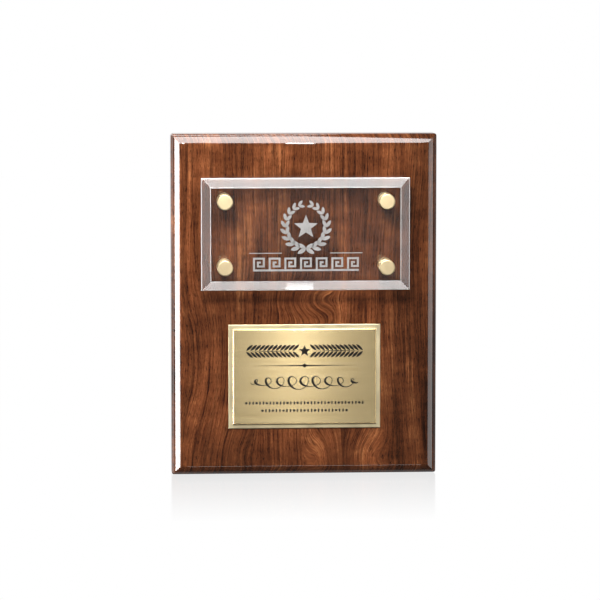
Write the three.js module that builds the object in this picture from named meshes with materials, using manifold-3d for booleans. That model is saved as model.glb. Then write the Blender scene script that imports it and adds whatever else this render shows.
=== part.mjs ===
// A wall plaque in millimetres, +Z up, its front towards -Y.
// The origin is the middle of the board's back face, which lies against the wall.
// A walnut board with a crowned, mitred bevel carries a bevelled glass plate on four brass stand-offs
// and, below it, a brass border plate with a smaller engraving plate taped on top. A keyhole plate let
// into the back hangs the plaque on a wall screw.
import * as THREE from "three";
import { mergeVertices } from "three/addons/utils/BufferGeometryUtils.js";
import Module from "manifold-3d";

const wasm = await Module();
wasm.setup();

// Clearances
const STACK_GAP = 0.05; // between flat faces that rest on each other
const ROUND_GAP = 0.3; // round a pin, screw or sleeve in its hole, on the radius
const RECESS_GAP = 0.3; // round an inlaid piece in its recess

// Board
const BOARD_WIDTH = 177.8;
const BOARD_HEIGHT = 228.6;
const BOARD_THICKNESS = 19;
const BOARD_CORNER_RADIUS = 2.3;
const BEVEL_WIDTH = 6.2; // from the outline in to the flat front face
const BEVEL_DEPTH = 5.2; // from the front face back to the side
const BEVEL_CROWN = 0.7; // how far the curve's control point stands out of the straight slope
const BEVEL_EDGE_ROUND = 1.4; // where the slope turns into the side
const BACK_CHAMFER = 0.8;

// Glass plate
const GLASS_WIDTH = 138.5;
const GLASS_HEIGHT = 74.6;
const GLASS_THICKNESS = 6;
const GLASS_EDGE = 3; // the square edge behind the bevel
const GLASS_BEVEL_WIDTH = 6.2;
const GLASS_CORNER_RADIUS = 0.5;
const GLASS_BELOW_TOP = 28.4; // from the board's top to the plate's top
const HOLE_FROM_SIDE = 15.6;
const HOLE_FROM_END = 15.45;

// Stand-offs
const BARREL_RADIUS = 5;
const BARREL_LENGTH = 10;
const BARREL_BASE = 2; // the floor that the screw head clamps
const BARREL_RIM_CHAMFER = 0.4;
const CAP_RADIUS = 5.2;
const CAP_HEAD = 4.5;
const CAP_RIM_ROUND = 0.7;
const STUD_RADIUS = 3;
const STUD_TIP_SPARE = 1.15; // between the stud's tip and the screw head in the barrel
const STUD_TIP_CHAMFER = 0.6;
const WASHER_RADIUS = 4.7;
const WASHER_THICKNESS = 0.5;
const SLEEVE_WALL = 0.7;

// Screws, with a cross recess in each head
const SCREW_RADIUS = 1.5;
const SCREW_POINT = 3;
const PAN_HEAD_RADIUS = 2.8;
const PAN_HEAD_HEIGHT = 1.8;
const FLAT_HEAD_RADIUS = 3;
const FLAT_HEAD_HEIGHT = 1.5;
const FLAT_HEAD_LAND = 0.3; // the head's thin upright edge
const BARREL_SCREW_IN_WOOD = 13;
const KEYHOLE_SCREW_LENGTH = 12;
const CROSS_WIDTH = 0.7;
const CROSS_LENGTH = 3;
const CROSS_DEPTH = 1;

// Brass plates on double-sided tape
const BORDER_WIDTH = 101.6;
const BORDER_HEIGHT = 69.85;
const BORDER_THICKNESS = 0.8;
const BORDER_CHAMFER = 0.3;
const BORDER_ABOVE_BOTTOM = 31.6; // from the board's bottom to the plate's bottom
const MARGIN = 2.8; // of border plate that shows round the engraving plate
const ENGRAVED_THICKNESS = 1;
const ENGRAVED_CHAMFER = 0.6;
const PLATE_CORNER_RADIUS = 0.3;
const TAPE_THICKNESS = 0.2;
const TAPE_INSET = 3;

// Keyhole plate
const KEYHOLE_PLATE_WIDTH = 16;
const KEYHOLE_PLATE_HEIGHT = 40;
const KEYHOLE_PLATE_THICKNESS = 1.5;
const KEYHOLE_BELOW_TOP = 30;
const KEYHOLE_RECESS = 0.1; // how far the plate lies below the board's back
const KEYHOLE_RADIUS = 4.75;
const KEYHOLE_DROP = 4; // from the plate's middle down to the round hole's middle
const SLOT_WIDTH = 5;
const SLOT_RISE = 5; // from the plate's middle up to the middle of the slot's round end
const SCREW_SPACING = 29;
const POCKET_WIDTH = 12;
const POCKET_DEPTH = 8; // behind the plate
const POCKET_MARGIN = 0.5; // of pocket above the slot and below the round hole

const ROUND_SIDES = 24;
const SMALL_SIDES = 16;
const ARC_STEPS = 4;
const CUT_PAST = 1; // how far a cutting shape runs past the face that it cuts

const walnut = new THREE.MeshStandardMaterial({ color: 0x744024, roughness: 0.25, metalness: 0 });
const glass = new THREE.MeshStandardMaterial({
  color: 0xe8efee,
  roughness: 0.05,
  metalness: 0,
  transparent: true,
  opacity: 0.35,
});
const satinBrass = new THREE.MeshStandardMaterial({ color: 0xd9bd82, roughness: 0.35, metalness: 0.9 });
const polishedBrass = new THREE.MeshStandardMaterial({ color: 0xe2c98f, roughness: 0.2, metalness: 0.9 });
const brushedBrass = new THREE.MeshStandardMaterial({ color: 0xe0c890, roughness: 0.4, metalness: 0.9 });
const clearNylon = new THREE.MeshStandardMaterial({ color: 0xdcdcd6, roughness: 0.4, metalness: 0 });
const tape = new THREE.MeshStandardMaterial({ color: 0xe6e2d6, roughness: 0.8, metalness: 0 });
const zincSteel = new THREE.MeshStandardMaterial({ color: 0xb9bbbd, roughness: 0.35, metalness: 0.9 });

// A closed geometry as a solid that can be cut and joined.
function solidOf(geometry) {
  const bare = geometry.clone();
  bare.deleteAttribute("normal");
  bare.deleteAttribute("uv");
  const merged = mergeVertices(bare, 1e-4);
  const mesh = new wasm.Mesh({
    numProp: 3,
    vertProperties: merged.attributes.position.array,
    triVerts: new Uint32Array(merged.index.array),
  });
  return new wasm.Manifold(mesh);
}

function geometryOf(solid) {
  const mesh = solid.getMesh();
  const geometry = new THREE.BufferGeometry();
  geometry.setAttribute("position", new THREE.BufferAttribute(mesh.vertProperties, 3));
  geometry.setIndex(new THREE.BufferAttribute(mesh.triVerts, 1));
  geometry.computeVertexNormals();
  return geometry;
}

function cut(geometry, cutters) {
  const solid = cutters.reduce((rest, cutter) => rest.subtract(solidOf(cutter)), solidOf(geometry));
  return geometryOf(solid);
}

// A piece turned about its own Y axis from [radius, y] points that run up its outside.
function turned(profile, sides = ROUND_SIDES) {
  return new THREE.LatheGeometry(
    profile.map(([radius, y]) => new THREE.Vector2(radius, y)),
    sides,
  );
}

// A ring between two radii and two heights along Y.
function ring(innerRadius, outerRadius, low, high, sides = ROUND_SIDES) {
  return turned(
    [
      [innerRadius, low],
      [outerRadius, low],
      [outerRadius, high],
      [innerRadius, high],
      [innerRadius, low],
    ],
    sides,
  );
}

// A round cutting rod along Y.
function rod(radius, low, high, x = 0, z = 0, sides = ROUND_SIDES) {
  return new THREE.CylinderGeometry(radius, radius, high - low, sides).translate(x, (low + high) / 2, z);
}

// An outline in the XZ plane, made solid from y = back towards the front.
function slab(outline, back, depth) {
  return new THREE.ExtrudeGeometry(outline, { depth, bevelEnabled: false, curveSegments: ARC_STEPS })
    .rotateX(Math.PI / 2)
    .translate(0, back, 0);
}

// A rectangle with round corners, centred on the origin.
function roundedRectangle(width, height, radius) {
  const right = width / 2;
  const top = height / 2;
  const shape = new THREE.Shape();
  shape.absarc(right - radius, top - radius, radius, 0, Math.PI / 2);
  shape.absarc(radius - right, top - radius, radius, Math.PI / 2, Math.PI);
  shape.absarc(radius - right, radius - top, radius, Math.PI, 1.5 * Math.PI);
  shape.absarc(right - radius, radius - top, radius, 1.5 * Math.PI, 2 * Math.PI);
  return shape;
}

// A bar that runs along Z with the same edge profile on its two sides.
function profiledBar(width, length, edge) {
  const right = edge.map((point) => new THREE.Vector2(width / 2 - point.x, -point.y));
  const left = right.map((point) => new THREE.Vector2(-point.x, point.y)).reverse();
  return new THREE.ExtrudeGeometry(new THREE.Shape([...right, ...left]), {
    depth: length,
    bevelEnabled: false,
  }).translate(0, 0, -length / 2);
}

// A panel with its back at y = 0 and one edge profile round its four sides, mitred at the corners.
// The edge is a path of (inset from the outline, depth in front of the back) points.
function mitredPanel(width, height, edge, cornerRadius) {
  const points = edge.getPoints(ARC_STEPS);
  const thickness = points[points.length - 1].y;
  const upright = solidOf(profiledBar(width, height + 2 * CUT_PAST, points));
  const level = solidOf(profiledBar(height, width + 2 * CUT_PAST, points).rotateY(Math.PI / 2));
  const outline = roundedRectangle(width, height, cornerRadius);
  const corners = solidOf(slab(outline, CUT_PAST, thickness + 2 * CUT_PAST));
  return geometryOf(upright.intersect(level).intersect(corners));
}

// The edge of a plate with a straight slope down from its front face.
function slopedEdge(thickness, slopeWidth, edgeDepth) {
  return new THREE.Path().moveTo(0, 0).lineTo(0, edgeDepth).lineTo(slopeWidth, thickness);
}

// The board's edge: a chamfered back, an upright side, a rounded turn and a crowned slope.
function boardEdge() {
  const shoulder = BOARD_THICKNESS - BEVEL_DEPTH;
  const slope = new THREE.Vector2(BEVEL_WIDTH, BEVEL_DEPTH).normalize();
  const turnEnd = new THREE.Vector2(0, shoulder).addScaledVector(slope, BEVEL_EDGE_ROUND);
  const outward = new THREE.Vector2(-slope.y, slope.x);
  const crown = new THREE.Vector2(BEVEL_WIDTH, BOARD_THICKNESS).add(turnEnd).multiplyScalar(0.5);
  crown.addScaledVector(outward, BEVEL_CROWN);
  return new THREE.Path()
    .moveTo(BACK_CHAMFER, 0)
    .lineTo(0, BACK_CHAMFER)
    .lineTo(0, shoulder - BEVEL_EDGE_ROUND)
    .quadraticCurveTo(0, shoulder, turnEnd.x, turnEnd.y)
    .quadraticCurveTo(crown.x, crown.y, BEVEL_WIDTH, BOARD_THICKNESS);
}

// Where the stand-offs stand, seen from the front.
const glassMiddle = BOARD_HEIGHT / 2 - GLASS_BELOW_TOP - GLASS_HEIGHT / 2;
const holeX = GLASS_WIDTH / 2 - HOLE_FROM_SIDE;
const holeZ = GLASS_HEIGHT / 2 - HOLE_FROM_END;
const standoffs = [
  { name: "top_left", x: -holeX, z: glassMiddle + holeZ },
  { name: "top_right", x: holeX, z: glassMiddle + holeZ },
  { name: "bottom_left", x: -holeX, z: glassMiddle - holeZ },
  { name: "bottom_right", x: holeX, z: glassMiddle - holeZ },
];

// The stack in front of the board, as distances in front of its face.
const barrelBack = STACK_GAP;
const barrelFront = barrelBack + BARREL_LENGTH;
const rearWasherBack = barrelFront + STACK_GAP;
const glassBack = rearWasherBack + WASHER_THICKNESS + STACK_GAP;
const glassFront = glassBack + GLASS_THICKNESS;
const frontWasherBack = glassFront + STACK_GAP;
const capBack = frontWasherBack + WASHER_THICKNESS + STACK_GAP;
const capFront = capBack + CAP_HEAD;
const screwHeadSeat = barrelBack + BARREL_BASE + STACK_GAP;
const studTip = screwHeadSeat + PAN_HEAD_HEIGHT + STUD_TIP_SPARE;
const boreRadius = STUD_RADIUS + ROUND_GAP;
const sleeveRadius = boreRadius + SLEEVE_WALL;
const glassHoleRadius = sleeveRadius + ROUND_GAP;
const screwHoleRadius = SCREW_RADIUS + ROUND_GAP;

const keyholeMiddle = BOARD_HEIGHT / 2 - KEYHOLE_BELOW_TOP;
const plateBottom = -BOARD_HEIGHT / 2 + BORDER_ABOVE_BOTTOM;
const plateMiddle = plateBottom + BORDER_HEIGHT / 2;

const plaque = new THREE.Group();

function addPiece(parent, name, geometry, material, x = 0, y = 0, z = 0) {
  const mesh = new THREE.Mesh(geometry, material);
  mesh.name = name;
  mesh.position.set(x, y, z);
  parent.add(mesh);
}

// The two crossed slots of a driver recess, from a head's top at y = top down to y = top - CROSS_DEPTH.
function crossRecess(top) {
  const height = CROSS_DEPTH + CUT_PAST;
  const middle = top - CROSS_DEPTH + height / 2;
  return [
    new THREE.BoxGeometry(CROSS_LENGTH, height, CROSS_WIDTH).translate(0, middle, 0),
    new THREE.BoxGeometry(CROSS_WIDTH, height, CROSS_LENGTH).translate(0, middle, 0),
  ];
}

// A wood screw along Y with the top of its head at y = 0 and its point below.
function woodScrew(head, length) {
  const shank = [
    [0, -length],
    [SCREW_RADIUS, SCREW_POINT - length],
  ];
  return cut(turned([...shank, ...head, [0, 0]], SMALL_SIDES), crossRecess(0));
}

function panHeadScrew(length) {
  const rim = PAN_HEAD_HEIGHT / 2;
  const head = [
    [SCREW_RADIUS, -PAN_HEAD_HEIGHT],
    [PAN_HEAD_RADIUS, -PAN_HEAD_HEIGHT],
    [PAN_HEAD_RADIUS, -rim],
    [PAN_HEAD_RADIUS - rim, 0],
  ];
  return woodScrew(head, length);
}

function flatHeadScrew(length) {
  const head = [
    [SCREW_RADIUS, -FLAT_HEAD_LAND - FLAT_HEAD_HEIGHT],
    [FLAT_HEAD_RADIUS, -FLAT_HEAD_LAND],
    [FLAT_HEAD_RADIUS, 0],
  ];
  return woodScrew(head, length);
}

// The stadium outline of the keyhole plate, or of the recess that it lies in.
function keyholePlateOutline(gap) {
  const width = KEYHOLE_PLATE_WIDTH + 2 * gap;
  return roundedRectangle(width, KEYHOLE_PLATE_HEIGHT + 2 * gap, width / 2 - 0.01);
}

function addBoard() {
  const board = mitredPanel(BOARD_WIDTH, BOARD_HEIGHT, boardEdge(), BOARD_CORNER_RADIUS);
  const recessDepth = KEYHOLE_RECESS + KEYHOLE_PLATE_THICKNESS + STACK_GAP;
  const pocketTop = SLOT_RISE + SLOT_WIDTH / 2 + POCKET_MARGIN;
  const pocketBottom = -KEYHOLE_DROP - KEYHOLE_RADIUS - POCKET_MARGIN;
  const pocket = roundedRectangle(POCKET_WIDTH, pocketTop - pocketBottom, POCKET_WIDTH / 4);
  const pocketMiddle = keyholeMiddle + (pocketTop + pocketBottom) / 2;
  const screwEnd = KEYHOLE_RECESS + KEYHOLE_SCREW_LENGTH + ROUND_GAP;
  const cutters = [
    slab(keyholePlateOutline(RECESS_GAP), CUT_PAST, recessDepth + CUT_PAST).translate(0, 0, keyholeMiddle),
    slab(pocket, -recessDepth + CUT_PAST, POCKET_DEPTH + CUT_PAST).translate(0, 0, pocketMiddle),
  ];
  for (const side of [-1, 1]) {
    const z = keyholeMiddle + (side * SCREW_SPACING) / 2;
    cutters.push(rod(screwHoleRadius, -screwEnd, CUT_PAST, 0, z, SMALL_SIDES));
  }
  const pilotEnd = BARREL_SCREW_IN_WOOD + ROUND_GAP - BOARD_THICKNESS;
  for (const { x, z } of standoffs) {
    cutters.push(rod(screwHoleRadius, -BOARD_THICKNESS - CUT_PAST, pilotEnd, x, z, SMALL_SIDES));
  }
  addPiece(plaque, "walnut_board", cut(board, cutters), walnut);
}

// One stand-off and the glass-hole fittings that it clamps. Its group stands on the board's face, and its
// pieces are turned with -Y as the way out from the board.
function addStandoff({ name, x, z }) {
  const group = new THREE.Group();
  group.position.set(x, -BOARD_THICKNESS, z);
  plaque.add(group);

  const boreFloor = barrelBack + BARREL_BASE;
  const barrel = turned([
    [screwHoleRadius, -boreFloor],
    [boreRadius, -boreFloor],
    [boreRadius, -barrelFront],
    [BARREL_RADIUS - BARREL_RIM_CHAMFER, -barrelFront],
    [BARREL_RADIUS, BARREL_RIM_CHAMFER - barrelFront],
    [BARREL_RADIUS, -barrelBack - BARREL_RIM_CHAMFER],
    [BARREL_RADIUS - BARREL_RIM_CHAMFER, -barrelBack],
    [screwHoleRadius, -barrelBack],
    [screwHoleRadius, -boreFloor],
  ]);
  addPiece(group, `barrel_${name}`, barrel, satinBrass);

  const headTop = screwHeadSeat + PAN_HEAD_HEIGHT;
  const screw = panHeadScrew(headTop + BARREL_SCREW_IN_WOOD).rotateX(Math.PI);
  addPiece(group, `barrel_screw_${name}`, screw, zincSteel, 0, -headTop, 0);

  for (const [side, back] of [["rear", rearWasherBack], ["front", frontWasherBack]]) {
    const washer = ring(boreRadius, WASHER_RADIUS, -back - WASHER_THICKNESS, -back);
    addPiece(group, `${side}_washer_${name}`, washer, clearNylon);
  }
  const sleeve = ring(boreRadius, sleeveRadius, STACK_GAP - glassFront, -glassBack - STACK_GAP);
  addPiece(group, `sleeve_${name}`, sleeve, clearNylon);

  const rimMiddle = CAP_RADIUS - CAP_RIM_ROUND;
  const capProfile = new THREE.Path()
    .moveTo(0, -capFront)
    .lineTo(rimMiddle, -capFront)
    .absarc(rimMiddle, CAP_RIM_ROUND - capFront, CAP_RIM_ROUND, -Math.PI / 2, 0)
    .lineTo(CAP_RADIUS, -capBack)
    .lineTo(STUD_RADIUS, -capBack)
    .lineTo(STUD_RADIUS, -studTip - STUD_TIP_CHAMFER)
    .lineTo(STUD_RADIUS - STUD_TIP_CHAMFER, -studTip)
    .lineTo(0, -studTip);
  const cap = new THREE.LatheGeometry(capProfile.getPoints(ARC_STEPS), ROUND_SIDES);
  addPiece(group, `cap_${name}`, cap, satinBrass);
}

function addGlass() {
  const edge = slopedEdge(GLASS_THICKNESS, GLASS_BEVEL_WIDTH, GLASS_EDGE);
  const plate = mitredPanel(GLASS_WIDTH, GLASS_HEIGHT, edge, GLASS_CORNER_RADIUS);
  const holes = standoffs.map(({ x, z }) =>
    rod(glassHoleRadius, -GLASS_THICKNESS - CUT_PAST, CUT_PAST, x, z - glassMiddle),
  );
  addPiece(plaque, "glass_plate", cut(plate, holes), glass, 0, -BOARD_THICKNESS - glassBack, glassMiddle);
}

// The two brass plates and their tapes, from the board's face outwards.
function addBrassPlates() {
  const group = new THREE.Group();
  group.position.set(0, -BOARD_THICKNESS, plateMiddle);
  plaque.add(group);
  const layers = [
    {
      name: "border",
      width: BORDER_WIDTH,
      height: BORDER_HEIGHT,
      thickness: BORDER_THICKNESS,
      chamfer: BORDER_CHAMFER,
      material: polishedBrass,
    },
    {
      name: "engraved",
      width: BORDER_WIDTH - 2 * MARGIN,
      height: BORDER_HEIGHT - 2 * MARGIN,
      thickness: ENGRAVED_THICKNESS,
      chamfer: ENGRAVED_CHAMFER,
      material: brushedBrass,
    },
  ];
  let back = STACK_GAP;
  for (const { name, width, height, thickness, chamfer, material } of layers) {
    const tapeWidth = width - 2 * TAPE_INSET;
    const tapeHeight = height - 2 * TAPE_INSET;
    const tapeOutline = roundedRectangle(tapeWidth, tapeHeight, PLATE_CORNER_RADIUS);
    addPiece(group, `${name}_tape`, slab(tapeOutline, -back, TAPE_THICKNESS), tape);
    back += TAPE_THICKNESS + STACK_GAP;
    const edge = slopedEdge(thickness, chamfer, thickness - chamfer);
    const plate = mitredPanel(width, height, edge, PLATE_CORNER_RADIUS);
    addPiece(group, `${name}_plate`, plate, material, 0, -back, 0);
    back += thickness + STACK_GAP;
  }
}

// The keyhole plate lies in its recess with its outer face towards +Y.
function addKeyholePlate() {
  const group = new THREE.Group();
  group.position.set(0, -KEYHOLE_RECESS, keyholeMiddle);
  plaque.add(group);

  const plate = slab(keyholePlateOutline(0), 0, KEYHOLE_PLATE_THICKNESS);
  const cutDepth = KEYHOLE_PLATE_THICKNESS + 2 * CUT_PAST;
  const slot = new THREE.BoxGeometry(SLOT_WIDTH, cutDepth, SLOT_RISE + KEYHOLE_DROP);
  slot.translate(0, -KEYHOLE_PLATE_THICKNESS / 2, (SLOT_RISE - KEYHOLE_DROP) / 2);
  const low = -KEYHOLE_PLATE_THICKNESS - CUT_PAST;
  const cutters = [
    slot,
    rod(SLOT_WIDTH / 2, low, CUT_PAST, 0, SLOT_RISE),
    rod(KEYHOLE_RADIUS, low, CUT_PAST, 0, -KEYHOLE_DROP),
  ];
  const countersink = [
    [0, low],
    [screwHoleRadius, low],
    [screwHoleRadius, -FLAT_HEAD_LAND - FLAT_HEAD_HEIGHT],
    [FLAT_HEAD_RADIUS + ROUND_GAP, -FLAT_HEAD_LAND],
    [FLAT_HEAD_RADIUS + ROUND_GAP, CUT_PAST],
    [0, CUT_PAST],
  ];
  for (const [place, side] of [["top", 1], ["bottom", -1]]) {
    const z = (side * SCREW_SPACING) / 2;
    cutters.push(turned(countersink, SMALL_SIDES).translate(0, 0, z));
    const screw = flatHeadScrew(KEYHOLE_SCREW_LENGTH);
    addPiece(group, `keyhole_screw_${place}`, screw, zincSteel, 0, 0, z);
  }
  addPiece(group, "keyhole_plate", cut(plate, cutters), zincSteel);
}

addBoard();
addGlass();
standoffs.forEach(addStandoff);
addBrassPlates();
addKeyholePlate();

export default plaque;
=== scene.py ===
# %% [markdown]
# # A walnut plaque with a floating glass plate
#
# The plaque is a lacquered walnut board. A bevelled glass plate floats in front of it on four brass
# stand-offs, and an engraved brass plate is taped on below. The solid model already fixes every size
# and place, so this lesson makes what the eye judges: soft lacquered edges, polished bevels, turned
# and brushed brass, and above all the figured walnut.
#
# Lengths are in metres. The front of the plaque faces -Y, +X is to the right and +Z is up.

# %% The frame that the pieces are built around
import math

import bmesh
import bpy
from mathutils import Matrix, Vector


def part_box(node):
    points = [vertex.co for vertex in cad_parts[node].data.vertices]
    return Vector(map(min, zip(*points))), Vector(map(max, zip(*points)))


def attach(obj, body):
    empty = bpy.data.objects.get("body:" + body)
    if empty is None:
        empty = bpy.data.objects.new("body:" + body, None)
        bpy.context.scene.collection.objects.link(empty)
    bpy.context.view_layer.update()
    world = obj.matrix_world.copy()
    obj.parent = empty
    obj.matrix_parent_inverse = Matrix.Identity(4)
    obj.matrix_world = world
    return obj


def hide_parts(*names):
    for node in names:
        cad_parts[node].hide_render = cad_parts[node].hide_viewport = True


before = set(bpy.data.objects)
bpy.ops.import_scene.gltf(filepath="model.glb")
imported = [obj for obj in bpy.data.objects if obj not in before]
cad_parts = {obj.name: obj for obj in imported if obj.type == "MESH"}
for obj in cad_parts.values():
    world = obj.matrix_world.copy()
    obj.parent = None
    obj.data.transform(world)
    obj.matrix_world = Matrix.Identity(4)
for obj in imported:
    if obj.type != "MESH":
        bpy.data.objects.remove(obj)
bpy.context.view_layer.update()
MM = 0.001
BODY = "plaque"
CORNERS = ("top_left", "top_right", "bottom_left", "bottom_right")
board_low, board_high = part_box("walnut_board")
glass_low, glass_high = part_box("glass_plate")
caps = {corner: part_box(f"cap_{corner}") for corner in CORNERS}
centres = {corner: (low + high) / 2 for corner, (low, high) in caps.items()}
print("board", [round(size / MM, 1) for size in board_high - board_low], "mm")

# %% [markdown]
# ## The camera
#
# A long lens far away keeps the board's sides parallel, as in a catalogue. The
# camera stands a little to the left and a little above, so the top and left edges show their depth.
# The lens is worked out from the distance and from how wide a view it takes in at the plaque, which
# is easier to reason about than a focal length.

# %% The camera
CAMERA_DISTANCE = 2.4
CAMERA_LEFT = math.radians(3.6)
CAMERA_UP = math.radians(5.8)
VIEW_WIDTH = 0.4004
AIM_RIGHT = -0.0029
AIM_UP = 0.0034

bpy.ops.object.select_all(action="DESELECT")
toward_camera = Vector((
    -math.sin(CAMERA_LEFT) * math.cos(CAMERA_UP),
    -math.cos(CAMERA_LEFT) * math.cos(CAMERA_UP),
    math.sin(CAMERA_UP),
))
aim = Vector((AIM_RIGHT, board_low.y, AIM_UP))
bpy.ops.object.camera_add(location=aim + toward_camera * CAMERA_DISTANCE)
camera = bpy.context.object
camera.rotation_euler = (-toward_camera).to_track_quat("-Z", "Y").to_euler()
camera.data.lens = camera.data.sensor_width * CAMERA_DISTANCE / VIEW_WIDTH
bpy.context.scene.camera = camera
bpy.context.scene.view_settings.view_transform = "Standard"
print("lens", round(camera.data.lens), "mm")

# %% [markdown]
# ## Working with shader nodes
#
# A finish is a small network of nodes. Short helpers keep the networks readable: one adds a node and
# fills its inputs, one does arithmetic, one stretches a value from one range to another, and one lays
# noise over the piece. An input is either a plain value or another node's output, which is then linked
# to it. Most finishes are one ready-made surface, which surface_finish fills in and hands over.

# %% Helpers for shader nodes
def connect(tree, socket, value):
    if isinstance(value, bpy.types.Node):
        value = value.outputs[0]
    if isinstance(value, bpy.types.NodeSocket):
        tree.links.new(value, socket)
    else:
        socket.default_value = value


def add_node(tree, kind, options=None, **inputs):
    """Input names are written with _ for a space, and _2 means the input with number 2."""
    node = tree.nodes.new("ShaderNode" + kind)
    for option, value in (options or {}).items():
        setattr(node, option, value)
    for name, value in inputs.items():
        key = int(name[1:]) if name[0] == "_" else name.replace("_", " ")
        connect(tree, node.inputs[key], value)
    return node


def calc(tree, operation, *values):
    node = add_node(tree, "Math", {"operation": operation})
    for socket, value in zip(node.inputs, values):
        connect(tree, socket, value)
    return node.outputs[0]


def stretch(tree, value, low, high, to_low=0.0, to_high=1.0, kind="SMOOTHSTEP"):
    return add_node(
        tree, "MapRange", {"interpolation_type": kind},
        Value=value, From_Min=low, From_Max=high, To_Min=to_low, To_Max=to_high,
    ).outputs[0]


def noise(tree, place, detail=4.0, roughness=0.5):
    return add_node(tree, "TexNoise", Vector=place, Scale=1.0, Detail=detail, Roughness=roughness).outputs[0]


def scaled_place(tree, scale, location=(0, 0, 0), rotation=(0, 0, 0)):
    """Object coordinates in millimetres, times a scale for each axis."""
    place = add_node(tree, "TexCoord").outputs["Object"]
    per_metre = [share / MM for share in scale]
    return add_node(tree, "Mapping", Vector=place, Location=location, Rotation=rotation, Scale=per_metre)


def patches(tree, scale, detail=4.0, roughness=0.5, rotation=(0, 0, 0)):
    """Noise over the piece, with so many patches to a millimetre along each axis."""
    return noise(tree, scaled_place(tree, scale, rotation=rotation), detail, roughness)


def two_tones(tree, value, dark, light):
    """A colour between two tones, chosen by a value from 0 to 1."""
    ramp = add_node(tree, "ValToRGB", Fac=value)
    for stop, tone in zip(ramp.color_ramp.elements, (dark, light)):
        stop.color = (*tone, 1)
    return ramp


def start_finish(name):
    material = bpy.data.materials.new(name + "_finish")
    material.use_nodes = True
    material.node_tree.nodes.clear()
    return material, material.node_tree


def end_finish(material, surface):
    tree = material.node_tree
    tree.links.new(surface.outputs[0], add_node(tree, "OutputMaterial").inputs["Surface"])
    print("finish", material.name, "from", len(tree.nodes), "nodes")
    return material


def surface_finish(material, **inputs):
    return end_finish(material, add_node(material.node_tree, "BsdfPrincipled", **inputs))

# %% [markdown]
# ## The studio
#
# The plaque stands on a pale floor in front of a pale sweep. The camera sees plain white. The polished
# edges find white behind the plaque, and the space in front stays dim, so that the lacquer shows deep
# colour instead of a grey veil. A sky whose brightness depends on the direction does all of that. The
# lacquer doesn't mirror the floor, which would grey it.

# %% The sweep
SWEEP_BEHIND = 1.0
SWEEP_IN_FRONT = 0.12

world = bpy.data.worlds.new("studio_sweep")
bpy.context.scene.world = world
world.use_nodes = True
sky = world.node_tree
sky.nodes.clear()
depth = add_node(sky, "SeparateXYZ", Vector=add_node(sky, "TexCoord").outputs["Generated"]).outputs["Y"]
sweep = stretch(sky, depth, 0.12, 0.42, SWEEP_IN_FRONT, SWEEP_BEHIND)
seen = add_node(sky, "LightPath").outputs["Is Camera Ray"]
strength = add_node(sky, "Mix", _0=seen, _2=sweep, _3=1.0)
background = add_node(sky, "Background", Color=(1, 1, 1, 1), Strength=strength)
sky.links.new(background.outputs[0], add_node(sky, "OutputWorld").inputs["Surface"])

# %% [markdown]
# The floor is one large sheet just under the board. It glows evenly for the camera, so that it melts
# into the white sweep, and has a slight blurred polish close to the plaque for the faint mirror image
# under it. For all other rays it is plain grey card, or it would light the plaque from below.

# %% The floor
FLOOR_SIZE = 6
FLOOR_GAP = 0.05 * MM
FLOOR_GREY = (0.3, 0.3, 0.3, 1)
WHITE = (1, 1, 1, 1)
FLOOR_MIRROR = 0.24
FLOOR_BLUR = 0.12
MIRROR_REACH = 210

bpy.ops.mesh.primitive_plane_add(size=FLOOR_SIZE, location=(0, 0, board_low.z - FLOOR_GAP))
floor = bpy.context.object
floor.name = "pale_floor"
floor_finish, tree = start_finish("pale_floor")
bright = add_node(tree, "Emission", Color=WHITE, Strength=1.0)
gloss = add_node(tree, "BsdfGlossy", Color=WHITE, Roughness=FLOOR_BLUR)
forward = add_node(tree, "SeparateXYZ", Vector=scaled_place(tree, (1, 1, 1))).outputs["Y"]
mirror = stretch(tree, forward, -MIRROR_REACH, 0.0, 0.0, FLOOR_MIRROR, kind="LINEAR")
shown = add_node(tree, "MixShader", _0=mirror, _1=bright, _2=gloss)
lit = add_node(tree, "BsdfDiffuse", Color=FLOOR_GREY)
seen = add_node(tree, "LightPath").outputs["Is Camera Ray"]
floor.data.materials.append(end_finish(floor_finish, add_node(tree, "MixShader", _0=seen, _1=lit, _2=shown)))
floor.visible_glossy = False

# %% [markdown]
# ## The lights
#
# Each light has one job, and its place follows from what should mirror in what. A bevel that slopes by
# some angle mirrors whatever lies at twice that angle. Seen through a long lens all those mirrored rays
# are nearly parallel, so a distant light of the right width fills a whole bevel without washing out
# the face. One hangs overhead for the top edges and one stands at each side. A dim one beside the left
# light fills the left bevel of the glass, and one behind it lights the board's left side. The key light
# above the camera throws the shadows of the glass down and to the right. A slim strip in front spreads
# into a bright column on the brushed brass, and a small one below is for the lower bevel of the glass.
# The camera doesn't see any of them.

# %% The softboxes
def softbox(name, azimuth, elevation, distance, width, height, brightness, target=(0, 0, 0)):
    around, up = math.radians(azimuth), math.radians(elevation)
    away = Vector((math.sin(around) * math.cos(up), -math.cos(around) * math.cos(up), math.sin(up)))
    bpy.ops.object.light_add(type="AREA", location=Vector(target) + away * distance)
    lamp = bpy.context.object
    lamp.name = name
    lamp.rotation_euler = away.to_track_quat("Z", "Y").to_euler()
    lamp.data.shape = "RECTANGLE"
    lamp.data.size, lamp.data.size_y = width, height
    lamp.data.energy = brightness * math.pi * width * height
    lamp.visible_camera = False
    print(name, round(lamp.data.energy, 1), "W")


# the middle of the bevel along the foot of the glass
glass_foot = (0, glass_low.y + 1.5 * MM, glass_low.z + 3 * MM)
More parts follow.
